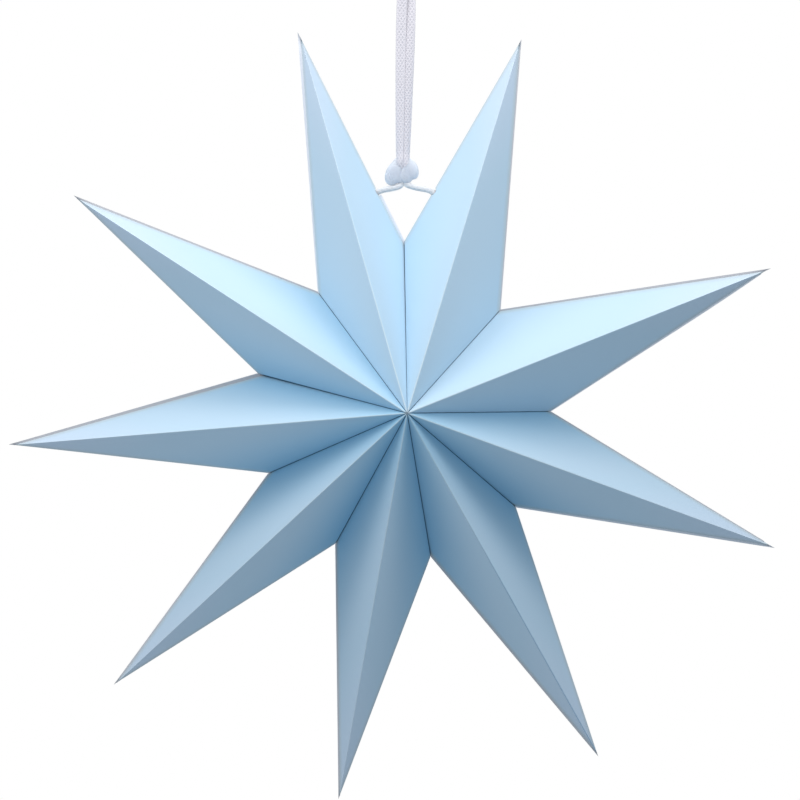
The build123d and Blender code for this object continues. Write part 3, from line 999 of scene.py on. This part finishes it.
def press(mesh, line, width, depth):
    """Presses a crease into a mesh along its own normals, following a line of places seen from the front."""
    count = len(mesh.vertices)
    places, normals = np.empty(count * 3, np.float32), np.empty(count * 3, np.float32)
    mesh.vertices.foreach_get("co", places)
    mesh.vertices.foreach_get("normal", normals)
    places, normals = places.reshape(-1, 3), normals.reshape(-1, 3)
    flat = places[:, (0, 2)]
    nearest = np.full(count, np.inf)
    for a, b in zip(line, line[1:]):
        a, b = np.array((a.x, a.z)), np.array((b.x, b.z))
        share = np.clip(((flat - a) @ (b - a)) / ((b - a) @ (b - a)), 0, 1)
        nearest = np.minimum(nearest, np.linalg.norm(flat - a - share[:, None] * (b - a), axis=1))
    dent = depth * np.exp(-((nearest / width) ** 2))
    mesh.vertices.foreach_set("co", (places - normals * dent[:, None]).ravel())
    mesh.update()


def finish_lump(piece, lean):
    """Lays the braid's map over a lump from the front, turned to follow its wrap, and adds its material."""
    mesh = piece.data
    turn = math.radians(lean)
    places = np.array([v.co for v in mesh.vertices])[[loop.vertex_index for loop in mesh.loops]]
    x, z = (places[:, 0] - knot_place.x) / MM, (places[:, 2] - knot_place.z) / MM
    across = x * math.cos(turn) + z * math.sin(turn)
    along = z * math.cos(turn) - x * math.sin(turn)
    layer = mesh.uv_layers.new(name="band")
    layer.uv.foreach_set("vector", np.stack([across, along], axis=1).ravel().astype(np.float32))
    mesh.materials.clear()
    mesh.materials.append(knot_white)
    mesh.shade_smooth()


# %% The tied knot
# Each lump's place from the knot's middle, its lean in degrees, and its half width, depth and length
KNOT_LUMPS = [
    ((-4.4, 0.0, -1.0), 30, 5.2, 4.4, 8.2),
    ((3.9, 0.0, 1.2), -28, 4.5, 4.4, 6.9),
    ((0.2, 0.0, -1.0), -6, 6.6, 4.2, 7.0),
    ((-4.2, 0.0, 3.6), 32, 2.4, 3.6, 4.8),
    ((3.9, 0.0, 4.0), -30, 2.3, 3.6, 4.0),
]
# Each crease's line as seen from the front, its width and its depth
KNOT_CREASES = [
    (((-0.3, 4.4), (0.1, 3.0), (-1.2, -0.5), (-1.8, -4.5), (-0.4, -7.0), (0.4, -8.6)), 0.6, 0.4),
    (((4.2, 3.0), (3.4, -1.0), (4.4, -4.6)), 0.9, 0.12),
    (((-9.6, -1.0), (-6.4, -7.4)), 0.3, 0.3),
    (((-8.4, -0.6), (-5.2, -7.2)), 0.3, 0.25),
    (((-7.0, -0.6), (-4.2, -6.6)), 0.3, 0.16),
]
KNOT_SMOOTHING = 20
KNOT_LEAN = 30
# The knot thins towards its top, to a share of its depth, and its front is pressed flat
THIN_TOP = 7.5
THIN_RUN = 8.0
KNOT_TOP_DEPTH = 0.4
KNOT_FLAT = 3.0 * MM


def knot_pressed(place):
    """Presses a place of the knot towards its middle plane: flat in front, and thin at the strands."""
    share = min(max((THIN_TOP - (place.z - knot_place.z) / MM) / THIN_RUN, 0), 1)
    depth = KNOT_TOP_DEPTH + (1 - KNOT_TOP_DEPTH) * share * share * (3 - 2 * share)
    return Vector((place.x, KNOT_FLAT * math.tanh(place.y * depth / KNOT_FLAT), place.z))


def make_knot():
    """Two wraps and the turn between them, with creases and wrinkles."""
    lumps = [(by_knot(*place), *form) for place, *form in KNOT_LUMPS]
    made = join_lumps("ribbon_knot_tied", lumps, KNOT_SMOOTHING, knot_pressed)
    for line, width, depth in KNOT_CREASES:
        press(made.data, [by_knot(x, 0, z) for x, z in line], width * MM, depth * MM)
    finish_lump(made, KNOT_LEAN)
    return made


knot = make_knot()
print("knot:", len(knot.data.polygons), "faces")

# %% The stop knots on the ribbon's ends
STOP_LUMPS = [((0.5, 0, 0.4), 35, 2.5, 2.6, 3.0), ((-0.5, 0, -0.4), -40, 2.4, 2.7, 3.0)]
STOP_CREASE = ((-2, 0, 2), (2, 0, -2))
STOP_CREASE_WIDTH = 0.4 * MM
STOP_CREASE_DEPTH = 0.5 * MM
STOP_SMOOTHING = 4
STOP_LEAN = -30


def make_stop_knot(name, place):
    """A small pulled knot on a ribbon end."""
    lumps = [(place + Vector(offset) * MM, *form) for offset, *form in STOP_LUMPS]
    made = join_lumps(name, lumps, STOP_SMOOTHING)
    press(made.data, [place + Vector(end) * MM for end in STOP_CREASE], STOP_CREASE_WIDTH, STOP_CREASE_DEPTH)
    finish_lump(made, STOP_LEAN)
    return made


stop_knots = [make_stop_knot(f"{side}_end_knot", place) for side, place in zip(("left", "right"), stops)]
for piece, node in zip((knot, *stop_knots), ("ribbon_knot", "left_stop_knot", "right_stop_knot")):
    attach(piece, "root")
    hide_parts(node)
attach(band, "root")
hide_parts("ribbon_loop", "left_leg", "right_leg")
print("ribbon pieces:", band.name, knot.name, ", ".join(piece.name for piece in stop_knots))

# %% [markdown]
# ## Light and floor
# A large soft light above and a dim, bluish surround make the top facets bright and the undersides darker,
# as in the photograph. Smaller lights to the left and right open up the side facets, a faint one from below
# keeps the lowest facets from going flat, and one behind lights the back for other views. The surround is
# white to the camera; the floor lies well below the star, out of the camera's view.

# %% Surround and lights
SURROUND = (0.30, 0.37, 0.43, 1)
# Each light's name, its place from the hub and its size in metres, and its power in watts
LIGHTS = [
    ("top_light", (0, -0.25, 0.65), 0.5, 1.75),
    ("right_light", (0.35, -0.30, 0.45), 0.3, 1.05),
    ("left_light", (-0.35, -0.30, 0.45), 0.3, 0.9),
    ("low_left_light", (-0.50, -0.35, 0.25), 0.4, 0.42),
    ("under_light", (-0.25, -0.30, -0.35), 0.3, 0.1),
    ("back_light", (0.10, 0.60, 0.50), 0.5, 1.5),
]
AIM_RISE = 0.1


def make_world():
    """White where the camera looks past the star, and an even soft fill for its light."""
    world = bpy.data.worlds.new("surround")
    bpy.context.scene.world = world
    world.use_nodes = True
    tree = world.node_tree
    tree.nodes.clear()
    graph = Graph(tree)
    path = tree.nodes.new("ShaderNodeLightPath")
    seen = graph.math("MAXIMUM", path.outputs["Is Camera Ray"], path.outputs["Is Glossy Ray"])
    seen = graph.math("MAXIMUM", seen, path.outputs["Is Transmission Ray"])
    colour = graph.add("ShaderNodeMix", seen, SURROUND, (1, 1, 1, 1), data_type="RGBA")
    out = tree.nodes.new("ShaderNodeOutputWorld")
    tree.links.new(graph.add("ShaderNodeBackground", colour, 1.0), out.inputs["Surface"])
    return world


def soft_light(name, offset, size, power):
    """A square soft light near the star, aimed just above its hub."""
    lamp = bpy.data.lights.new(name, "AREA")
    lamp.shape = "SQUARE"
    lamp.size = size
    lamp.energy = power
    light = bpy.data.objects.new(name, lamp)
    light.location = HUB + Vector(offset)
    aim = HUB + Vector((0, 0, AIM_RISE))
    light.rotation_euler = (aim - light.location).to_track_quat("-Z", "Y").to_euler()
    bpy.context.collection.objects.link(light)
    return light


world = make_world()
lights = [soft_light(*light) for light in LIGHTS]
print(world.name, "and lights:", ", ".join(light.name for light in lights))

# %% The floor
FLOOR_DROP = 1.3
FLOOR_RADIUS = 1.05
FLOOR_PALE = (0.86, 0.86, 0.86, 1)


def make_floor():
    """A plain pale disc, well below the star."""
    mesh = bpy.data.meshes.new("floor")
    builder = bmesh.new()
    bmesh.ops.create_circle(builder, cap_ends=True, radius=FLOOR_RADIUS, segments=96)
    bmesh.ops.translate(builder, verts=builder.verts, vec=HUB - Vector((0, 0, FLOOR_DROP)))
    builder.to_mesh(mesh)
    builder.free()
    floor = bpy.data.objects.new("floor", mesh)
    bpy.context.collection.objects.link(floor)
    material, _, shader = new_material("floor_pale")
    shader.inputs["Base Color"].default_value = FLOOR_PALE
    shader.inputs["Roughness"].default_value = 0.9
    mesh.materials.append(material)
    return floor


floor = make_floor()
print("floor at", round(floor.data.vertices[0].co.z, 3), "m")

# %% [markdown]
# ## View settings
# The view settings stay plain.

# %% Finish
bpy.context.scene.view_settings.view_transform = "Standard"
